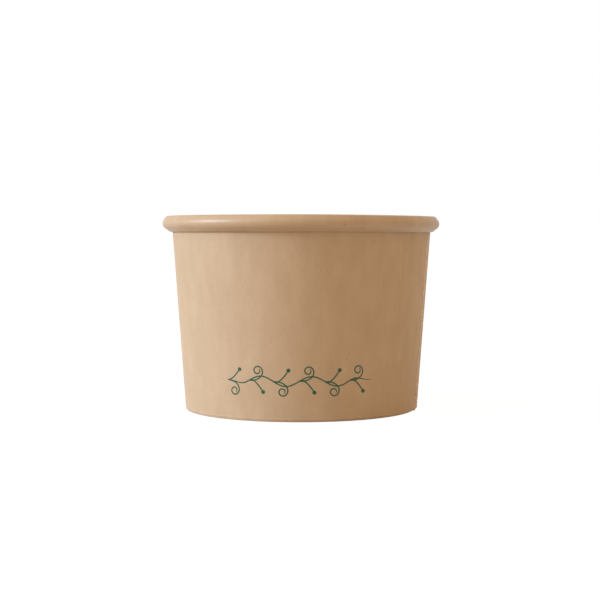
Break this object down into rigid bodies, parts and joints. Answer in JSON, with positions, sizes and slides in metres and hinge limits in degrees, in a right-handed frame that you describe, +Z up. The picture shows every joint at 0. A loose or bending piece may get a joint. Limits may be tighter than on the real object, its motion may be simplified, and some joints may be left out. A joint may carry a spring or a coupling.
{
  "type": "paper ice cream tub",
  "caption": "Tapered round paper tub with a rolled rim, a lapped side seam and a recessed base held in a folded hem.",
  "frame": {"origin": "on the tub's axis, in the plane that its foot rests on", "axes": "+Z up along the tub's axis, -Y towards the viewer, +X to the viewer's right"},
  "size_m": [0.09, 0.09, 0.0627],
  "materials": {
    "kraft_board": "unbleached kraft board, matt outside and thinly coated on the food side",
    "coated_base_board": "unbleached kraft board with a thin satin coating on the food side"
  },
  "bodies": {
    "root": {"sidewall": "kraft_board", "base_disc": "coated_base_board"}
  },
  "joints": []
}
